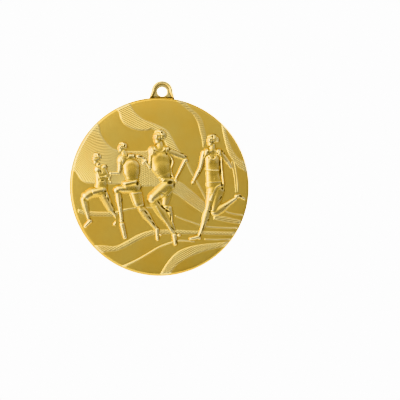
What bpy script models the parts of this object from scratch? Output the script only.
"""Sports finisher medal: a struck disc with four relief runners, a suspension loop and a blank reverse plate.

The medal stands upright. +X is to the right and +Z is up as the obverse is seen, and the obverse faces -Y.
The origin is the centre of the loop's hole, half-way through its thickness. Sizes below are in millimetres and
become metres when a mesh is made. Relief shapes are laid out across and up from the centre of the disc.
"""

import math

import bmesh
import bpy
from mathutils import Matrix, Vector

MM = 0.001
GAP = 0.3
THIN_GAP = 0.1

# Disc, with depth measured along Y: negative is the obverse, positive is the reverse. The obverse field runs
# out to a rounded edge with no rim, and the reverse has a low rim.
DISC_RADIUS = 25.0
DISC_CENTRE_Z = -26.8
FIELD_FRONT = -1.4
FRONT_ROUNDING = 0.9
ROUNDING_STEPS = 5
RIM_BACK = 1.4
FIELD_BACK = 1.1
RIM_WIDTH = 1.2
BACK_ROUNDING = 0.3
DISC_SEGMENTS = 80

# Blank plate, glued into a round seat in the reverse.
PLATE_RADIUS = 20.0
PLATE_THICKNESS = 0.4
ADHESIVE_RADIUS = 19.5
ADHESIVE_THICKNESS = 0.15
SEAT_CLEARANCE = 0.3

# Suspension loop: an arched tab with a raised border around a round hole.
HOLE_RADIUS = 1.4
ARCH_RADIUS = 3.0
LOOP_BASE_HALF_WIDTH = 3.5
LOOP_BASE_DROP = 2.1
LOOP_HALF_THICKNESS = 1.1
LOOP_WEB_HALF_THICKNESS = 0.7
LOOP_BORDER_WIDTH = 1.0
LOOP_SEGMENTS = 40

# Low relief on the field: each band lies between two edges, given as points that a smooth curve joins.
BAND_SINK = 0.4
BAND_END_RADIUS = DISC_RADIUS - FRONT_ROUNDING - 0.1
BAND_STEPS = 3
BANDS = {
    "left_sweep": (
        0.20,
        [(-17.6, 16.9), (-16.2, 13.2), (-13.0, 10.0), (-8.0, 9.4), (-2.5, 9.6), (1.5, 4.0), (5.0, -0.2), (9.5, -1.2),
         (13.0, -4.6)],
        [(-24.2, 2.8), (-22.0, 0.8), (-19.0, -0.3), (-13.0, 0.0), (-6.0, -0.5), (-0.5, -0.6), (4.8, -2.4), (9.0, -5.5),
         (12.6, -7.4)],
    ),
    "upper_sweep": (
        0.18,
        [(-9.3, 22.6), (-7.5, 20.5), (-4.0, 18.2), (1.0, 16.2), (4.0, 12.0), (7.0, 8.0), (10.0, 2.6), (14.0, -4.0)],
        [(-12.8, 20.8), (-11.0, 17.6), (-7.5, 15.4), (-2.3, 15.6), (1.2, 12.5), (4.2, 7.2), (7.4, 2.4), (12.4, -4.6)],
    ),
    "right_ridge": (
        0.16,
        [(5.6, 23.8), (9.6, 20.9), (11.7, 17.4), (12.6, 14.4)],
        [(4.4, 23.8), (8.6, 20.3), (10.6, 16.8), (11.6, 14.0)],
    ),
    "right_sweep": (
        0.19,
        [(18.4, 16.2), (19.2, 13.0), (20.8, 9.8), (22.2, 8.2), (23.6, 6.6)],
        [(17.2, 17.1), (18.2, 12.4), (19.7, 8.0), (21.2, 6.6), (23.9, 4.9)],
    ),
    "right_stem": (
        0.17,
        [(20.6, 8.4), (21.3, 5.6), (21.9, 2.6), (21.9, -0.4)],
        [(19.6, 8.0), (20.5, 5.2), (21.0, 2.4), (21.2, -0.4)],
    ),
    "low_left_ridge": (
        0.16,
        [(-19.6, -7.6), (-16.0, -7.7), (-12.5, -7.6), (-8.0, -6.4), (-2.0, -6.0)],
        [(-19.6, -9.0), (-16.0, -9.1), (-12.5, -8.5), (-8.0, -7.0), (-2.0, -6.5)],
    ),
    "upper_wave": (
        0.20,
        [(-17.2, -16.9), (-12.0, -17.2), (-6.0, -14.0), (0.0, -12.3), (8.0, -12.3), (15.0, -12.4), (20.6, -12.4)],
        [(-15.4, -18.9), (-11.0, -18.4), (-5.0, -15.0), (0.0, -13.6), (8.0, -13.3), (15.0, -13.3), (20.4, -13.3)],
    ),
    "middle_wave": (
        0.16,
        [(-10.2, -22.0), (-3.0, -18.9), (3.0, -15.6), (10.0, -15.1)],
        [(-9.0, -22.6), (-2.6, -19.5), (3.4, -16.2), (10.0, -15.7)],
    ),
    "lower_wave": (
        0.19,
        [(0.6, -24.3), (5.0, -18.6), (12.0, -16.0), (19.2, -15.0)],
        [(3.4, -24.1), (8.0, -20.0), (14.0, -17.6), (18.4, -16.0)],
    ),
    "right_bands": (
        0.18,
        [(15.5, -7.9), (19.0, -8.0), (22.6, -9.0)],
        [(15.5, -9.1), (19.0, -9.8), (22.2, -10.2)],
    ),
}

# Runners. A pose gives the joints across and up from the disc's centre. The limbs are round and are then
# flattened towards the field, as struck relief is, and only what stands above the low relief is kept.
RELIEF_FLATTENING = 0.60
BAND_TOP = 0.20
CUT_HEIGHT = BAND_TOP + GAP
FIGURE_VOXEL = 0.28
FIGURE_DECIMATION = 0.15
BALL_SEGMENTS = 16
CUT_BOX_SIZE = 60.0

# From joint, to joint, radius at each end on the largest runner, height of the limb's axis above the field.
LIMBS = [
    ("chin", "crown", 1.30, 1.45, 0.8),
    ("neck", "chin", 1.00, 0.90, 0.8),
    ("shoulder_left", "shoulder_right", 1.15, 1.15, 0.7),
    ("chest", "waist", 2.25, 1.60, 0.3),
    ("waist", "hips", 1.60, 1.75, 0.4),
    ("shoulder_left", "elbow_left", 0.95, 0.75, 1.0),
    ("elbow_left", "hand_left", 0.72, 0.55, 1.1),
    ("shoulder_right", "elbow_right", 0.95, 0.75, 1.0),
    ("elbow_right", "hand_right", 0.72, 0.55, 1.1),
    ("hips", "knee_left", 1.60, 1.10, 0.7),
    ("knee_left", "ankle_left", 1.00, 0.55, 0.9),
    ("ankle_left", "toe_left", 0.60, 0.45, 1.0),
    ("hips", "knee_right", 1.50, 0.95, 0.6),
    ("knee_right", "ankle_right", 0.90, 0.55, 0.8),
    ("ankle_right", "toe_right", 0.60, 0.45, 1.0),
]

# Left and right are the sides as the obverse is seen.
RUNNERS = {
    "runner_far_left": (0.78, {
        "crown": (-17.9, 7.5), "chin": (-17.7, 6.5), "neck": (-17.0, 5.2),
        "shoulder_left": (-17.5, 4.0), "elbow_left": (-16.6, 1.6), "hand_left": (-15.2, 1.8),
        "shoulder_right": (-15.6, 4.5), "elbow_right": (-14.4, 1.5), "hand_right": (-14.4, 2.9),
        "chest": (-16.4, 3.0), "waist": (-16.4, 0.6), "hips": (-16.4, -1.9),
        "knee_left": (-20.8, -4.5), "ankle_left": (-19.3, -9.9), "toe_left": (-19.9, -11.2),
        "knee_right": (-13.6, -6.9), "ankle_right": (-12.0, -9.1), "toe_right": (-13.0, -10.8),
    }),
    "runner_left": (0.95, {
        "crown": (-10.8, 10.7), "chin": (-10.7, 9.4), "neck": (-9.9, 8.2),
        "shoulder_left": (-10.7, 7.0), "elbow_left": (-11.1, 3.4), "hand_left": (-12.7, 3.1),
        "shoulder_right": (-8.6, 7.8), "elbow_right": (-5.7, 7.7), "hand_right": (-5.6, 6.3),
        "chest": (-8.3, 6.0), "waist": (-8.3, 3.0), "hips": (-7.4, -0.2),
        "knee_left": (-11.9, -2.0), "ankle_left": (-10.0, -9.9), "toe_left": (-9.1, -14.6),
        "knee_right": (-5.2, -6.4), "ankle_right": (-0.7, -12.1), "toe_right": (-0.3, -15.3),
    }),
    "runner_centre": (1.0, {
        "crown": (-0.4, 14.4), "chin": (-0.6, 12.9), "neck": (0.0, 11.0),
        "shoulder_left": (-2.0, 9.3), "elbow_left": (-2.8, 5.2), "hand_left": (-3.8, 6.8),
        "shoulder_right": (2.2, 9.8), "elbow_right": (7.0, 7.5), "hand_right": (4.3, 1.9),
        "chest": (0.1, 8.0), "waist": (1.0, 4.2), "hips": (1.9, 0.8),
        "knee_left": (-2.4, -3.9), "ankle_left": (4.2, -13.6), "toe_left": (4.7, -16.2),
        "knee_right": (2.6, -6.6), "ankle_right": (3.9, -12.0), "toe_right": (4.3, -12.9),
    }),
    "runner_right": (0.95, {
        "crown": (14.5, 13.8), "chin": (14.5, 12.5), "neck": (14.5, 10.8),
        "shoulder_left": (12.8, 9.6), "elbow_left": (11.1, 5.2), "hand_left": (9.3, 1.4),
        "shoulder_right": (16.4, 9.7), "elbow_right": (18.9, 6.6), "hand_right": (17.9, 3.4),
        "chest": (14.5, 8.2), "waist": (14.6, 4.2), "hips": (15.5, 0.4),
        "knee_left": (13.6, -6.2), "ankle_left": (10.9, -13.8), "toe_left": (9.0, -14.8),
        "knee_right": (15.5, -7.0), "ankle_right": (21.2, -2.8), "toe_right": (22.4, -2.7),
    }),
}

MATERIALS = {
    "gold_disc": ((0.58, 0.36, 0.07), 0.34),
    "gold_relief": ((0.66, 0.43, 0.12), 0.28),
    "gold_loop": ((0.58, 0.36, 0.07), 0.32),
    "gold_plate": ((0.60, 0.42, 0.14), 0.22),
    "adhesive": ((0.75, 0.72, 0.62), 0.60),
}


def clear_scene():
    for obj in list(bpy.data.objects):
        bpy.data.objects.remove(obj)


def material(name):
    """One Principled material for a finish."""
    colour, roughness = MATERIALS[name]
    made = bpy.data.materials.new(name)
    made.use_nodes = True
    shader = made.node_tree.nodes["Principled BSDF"]
    shader.inputs["Base Color"].default_value = (*colour, 1.0)
    shader.inputs["Roughness"].default_value = roughness
    shader.inputs["Metallic"].default_value = 0.0 if name == "adhesive" else 1.0
    return made


def add_object(name, mesh_bm, parent=None, finish=None):
    """An object from a bmesh in millimetres, on its parent, in metres."""
    bmesh.ops.scale(mesh_bm, vec=(MM, MM, MM), verts=mesh_bm.verts)
    bmesh.ops.recalc_face_normals(mesh_bm, faces=mesh_bm.faces)
    mesh = bpy.data.meshes.new(name)
    mesh_bm.to_mesh(mesh)
    mesh_bm.free()
    mesh.shade_smooth()
    mesh.set_sharp_from_angle(angle=math.radians(35))
    obj = bpy.data.objects.new(name, mesh)
    bpy.context.scene.collection.objects.link(obj)
    obj.parent = parent
    if finish:
        mesh.materials.append(finish)
    return obj


def make_cutter(obj):
    """Marks an object as a tool that shapes another one and isn't part of the medal."""
    obj.hide_render = True
    obj.display_type = "WIRE"


def boolean(target, tool, operation):
    make_cutter(tool)
    modifier = target.modifiers.new(f"{operation.lower()}_{tool.name}", "BOOLEAN")
    modifier.operation = operation
    modifier.solver = "EXACT"
    modifier.object = tool


def lathe(profile, segments):
    """A solid turned about the Y axis from (radius, depth) points, closed by a flat face at each end."""
    turned = bmesh.new()
    rings = []
    for radius, depth in profile:
        ring = []
        for step in range(segments):
            angle = 2.0 * math.pi * step / segments
            ring.append(turned.verts.new((radius * math.cos(angle), depth, radius * math.sin(angle))))
        rings.append(ring)
    turned.faces.new(rings[0])
    turned.faces.new(list(reversed(rings[-1])))
    for inner, outer in zip(rings, rings[1:]):
        for step in range(segments):
            following = (step + 1) % segments
            turned.faces.new((inner[step], outer[step], outer[following], inner[following]))
    return turned


def smooth_curve(points, steps):
    """Points of a Catmull-Rom curve through the given points, with an even number of steps between them."""
    padded = [points[0], *points, points[-1]]
    curve = []
    for before, start, end, after in zip(padded, padded[1:], padded[2:], padded[3:]):
        for step in range(steps):
            t = step / steps
            curve.append(tuple(
                0.5 * (2 * s + (e - b) * t + (2 * b - 5 * s + 4 * e - a) * t ** 2 + (3 * s - b - 3 * e + a) * t ** 3)
                for b, s, e, a in zip(before, start, end, after)
            ))
    curve.append(points[-1])
    return curve


def held_inside_edge(point):
    """The point, moved in to where the flat field ends if it lies further out."""
    radius = math.hypot(*point)
    if radius <= BAND_END_RADIUS:
        return point
    return (point[0] * BAND_END_RADIUS / radius, point[1] * BAND_END_RADIUS / radius)


def band(edge_one, edge_two, height):
    """A low ribbon between two edges, from inside the disc to its height above the field."""
    ribbon = bmesh.new()
    rows = []
    for one, two in zip(smooth_curve(edge_one, BAND_STEPS), smooth_curve(edge_two, BAND_STEPS)):
        one = held_inside_edge(one)
        two = held_inside_edge(two)
        rows.append([
            ribbon.verts.new((one[0], FIELD_FRONT - height, one[1])),
            ribbon.verts.new((two[0], FIELD_FRONT - height, two[1])),
            ribbon.verts.new((two[0], FIELD_FRONT + BAND_SINK, two[1])),
            ribbon.verts.new((one[0], FIELD_FRONT + BAND_SINK, one[1])),
        ])
    for row, following in zip(rows, rows[1:]):
        for side in range(4):
            other = (side + 1) % 4
            ribbon.faces.new((row[side], row[other], following[other], following[side]))
    ribbon.faces.new(rows[0])
    ribbon.faces.new(list(reversed(rows[-1])))
    bmesh.ops.triangulate(ribbon, faces=ribbon.faces)
    return ribbon


def box(low, high):
    """A box between two corners."""
    middle = (Vector(low) + Vector(high)) / 2
    size = Vector(high) - Vector(low)
    made = bmesh.new()
    bmesh.ops.create_cube(made, size=1.0, matrix=Matrix.Translation(middle) @ Matrix.Diagonal((*size, 1.0)))
    return made


def disc_profile():
    """The disc's section from the field's edge, over the rounded edge and the reverse rim, to the plate's seat."""
    seat_depth = RIM_BACK - PLATE_THICKNESS - ADHESIVE_THICKNESS - 2 * THIN_GAP
    seat_radius = PLATE_RADIUS + SEAT_CLEARANCE
    rim_inner = DISC_RADIUS - RIM_WIDTH
    profile = []
    for step in range(ROUNDING_STEPS + 1):
        turn = 0.5 * math.pi * step / ROUNDING_STEPS
        profile.append((
            DISC_RADIUS - FRONT_ROUNDING * (1.0 - math.sin(turn)),
            FIELD_FRONT + FRONT_ROUNDING * (1.0 - math.cos(turn)),
        ))
    return profile + [
        (DISC_RADIUS, RIM_BACK - BACK_ROUNDING),
        (DISC_RADIUS - 0.3 * BACK_ROUNDING, RIM_BACK - 0.3 * BACK_ROUNDING),
        (DISC_RADIUS - BACK_ROUNDING, RIM_BACK),
        (rim_inner + BACK_ROUNDING, RIM_BACK),
        (rim_inner, FIELD_BACK),
        (seat_radius, FIELD_BACK),
        (seat_radius, seat_depth),
    ]


def make_disc(centre, finish):
    """The struck disc, with its low relief and the flat seat of the loop."""
    disc = add_object("medal_disc", lathe(disc_profile(), DISC_SEGMENTS), centre, finish)
    for name, (height, edge_one, edge_two) in BANDS.items():
        boolean(disc, add_object(f"shape_{name}", band(edge_one, edge_two, height), centre), "UNION")
    seat_half_width = LOOP_BASE_HALF_WIDTH + GAP
    seat_floor = -DISC_CENTRE_Z - LOOP_BASE_DROP - GAP
    notch = box((-seat_half_width, FIELD_FRONT - 1.0, seat_floor), (seat_half_width, RIM_BACK + 1.0, DISC_RADIUS + 1.0))
    boolean(disc, add_object("shape_loop_seat", notch, centre), "DIFFERENCE")


def leg_normal():
    """Across and up parts of the outward normal of a leg, which touches the arch at a tangent."""
    to_corner = math.atan2(-LOOP_BASE_DROP, LOOP_BASE_HALF_WIDTH)
    turn = math.acos(ARCH_RADIUS / math.hypot(LOOP_BASE_HALF_WIDTH, LOOP_BASE_DROP))
    return math.cos(to_corner + turn), math.sin(to_corner + turn)


def loop_reach(angle):
    """Distance from the hole's centre to the loop's outline: a round arch on two straight legs and a flat base."""
    across = abs(math.cos(angle))
    up = math.sin(angle)
    normal = leg_normal()
    if math.atan2(up, across) > math.atan2(normal[1], normal[0]):
        return ARCH_RADIUS
    facing = across * normal[0] + up * normal[1]
    leg = ARCH_RADIUS / facing if facing > 0 else math.inf
    base = LOOP_BASE_DROP / -up if up < 0 else math.inf
    return min(leg, base)


def make_loop(finish):
    """The suspension loop: border, web and hole, as sections that follow the outline round the hole."""
    tab = bmesh.new()
    sections = []
    for step in range(LOOP_SEGMENTS):
        angle = 2.0 * math.pi * step / LOOP_SEGMENTS
        reach = loop_reach(angle)
        border = min(LOOP_BORDER_WIDTH, 0.5 * (reach - HOLE_RADIUS))
        ease = 0.2 * border
        half_section = [
            (HOLE_RADIUS, LOOP_WEB_HALF_THICKNESS),
            (reach - border - ease, LOOP_WEB_HALF_THICKNESS),
            (reach - border, LOOP_HALF_THICKNESS),
            (reach - ease, LOOP_HALF_THICKNESS),
            (reach, LOOP_HALF_THICKNESS - ease),
        ]
        section = half_section + [(radius, -depth) for radius, depth in reversed(half_section)]
        sections.append([
            tab.verts.new((radius * math.cos(angle), depth, radius * math.sin(angle))) for radius, depth in section
        ])
    for section, following in zip(sections, sections[1:] + sections[:1]):
        for side in range(len(section)):
            other = (side + 1) % len(section)
            tab.faces.new((section[side], section[other], following[other], following[side]))
    add_object("suspension_loop", tab, None, finish)


def add_limb(body, start, end, start_radius, end_radius):
    """A tapered limb with round ends."""
    for point, radius in ((start, start_radius), (end, end_radius)):
        bmesh.ops.create_uvsphere(
            body, u_segments=BALL_SEGMENTS, v_segments=BALL_SEGMENTS // 2, radius=radius,
            matrix=Matrix.Translation(point),
        )
    along = end - start
    turn = along.to_track_quat("Z", "Y").to_matrix().to_4x4()
    bmesh.ops.create_cone(
        body, cap_ends=True, segments=BALL_SEGMENTS, radius1=start_radius, radius2=end_radius, depth=along.length,
        matrix=Matrix.Translation((start + end) / 2) @ turn,
    )


def make_runner(name, scale, joints, centre, finish):
    """One relief runner: round limbs joined into one skin, flattened, and cut flat above the low relief."""
    body = bmesh.new()
    for joint_one, joint_two, radius_one, radius_two, height in LIMBS:
        start = Vector((joints[joint_one][0], -height, joints[joint_one][1]))
        end = Vector((joints[joint_two][0], -height, joints[joint_two][1]))
        add_limb(body, start, end, radius_one * scale, radius_two * scale)
    flatten = Matrix.Translation((0.0, FIELD_FRONT, 0.0)) @ Matrix.Diagonal((1.0, RELIEF_FLATTENING, 1.0, 1.0))
    bmesh.ops.transform(body, matrix=flatten, verts=body.verts)
    runner = add_object(name, body, centre, finish)
    skin = runner.modifiers.new("skin", "REMESH")
    skin.mode = "VOXEL"
    skin.voxel_size = FIGURE_VOXEL * MM
    skin.use_smooth_shade = True
    lighter = runner.modifiers.new("lighter", "DECIMATE")
    lighter.ratio = FIGURE_DECIMATION
    half = CUT_BOX_SIZE / 2
    behind = box((-half, FIELD_FRONT - CUT_HEIGHT, -half), (half, half, half))
    boolean(runner, add_object(f"shape_behind_{name}", behind, centre), "DIFFERENCE")


def make_reverse(centre, plate_finish, adhesive_finish):
    """The blank plate and the adhesive sheet that holds it in the reverse."""
    edge = 0.1
    plate_inner = RIM_BACK - PLATE_THICKNESS
    plate = [
        (PLATE_RADIUS, plate_inner),
        (PLATE_RADIUS, RIM_BACK - edge),
        (PLATE_RADIUS - edge, RIM_BACK),
    ]
    add_object("reverse_plate", lathe(plate, DISC_SEGMENTS), centre, plate_finish)
    adhesive_back = plate_inner - THIN_GAP
    adhesive_front = adhesive_back - ADHESIVE_THICKNESS
    adhesive = [(ADHESIVE_RADIUS, adhesive_front), (ADHESIVE_RADIUS, adhesive_back)]
    add_object("plate_adhesive", lathe(adhesive, DISC_SEGMENTS), centre, adhesive_finish)


def main():
    clear_scene()
    finishes = {name: material(name) for name in MATERIALS}
    centre = bpy.data.objects.new("disc_centre", None)
    bpy.context.scene.collection.objects.link(centre)
    centre.location = (0.0, 0.0, DISC_CENTRE_Z * MM)
    make_disc(centre, finishes["gold_disc"])
    make_loop(finishes["gold_loop"])
    for name, (scale, joints) in RUNNERS.items():
        make_runner(name, scale, joints, centre, finishes["gold_relief"])
    make_reverse(centre, finishes["gold_plate"], finishes["adhesive"])


main()
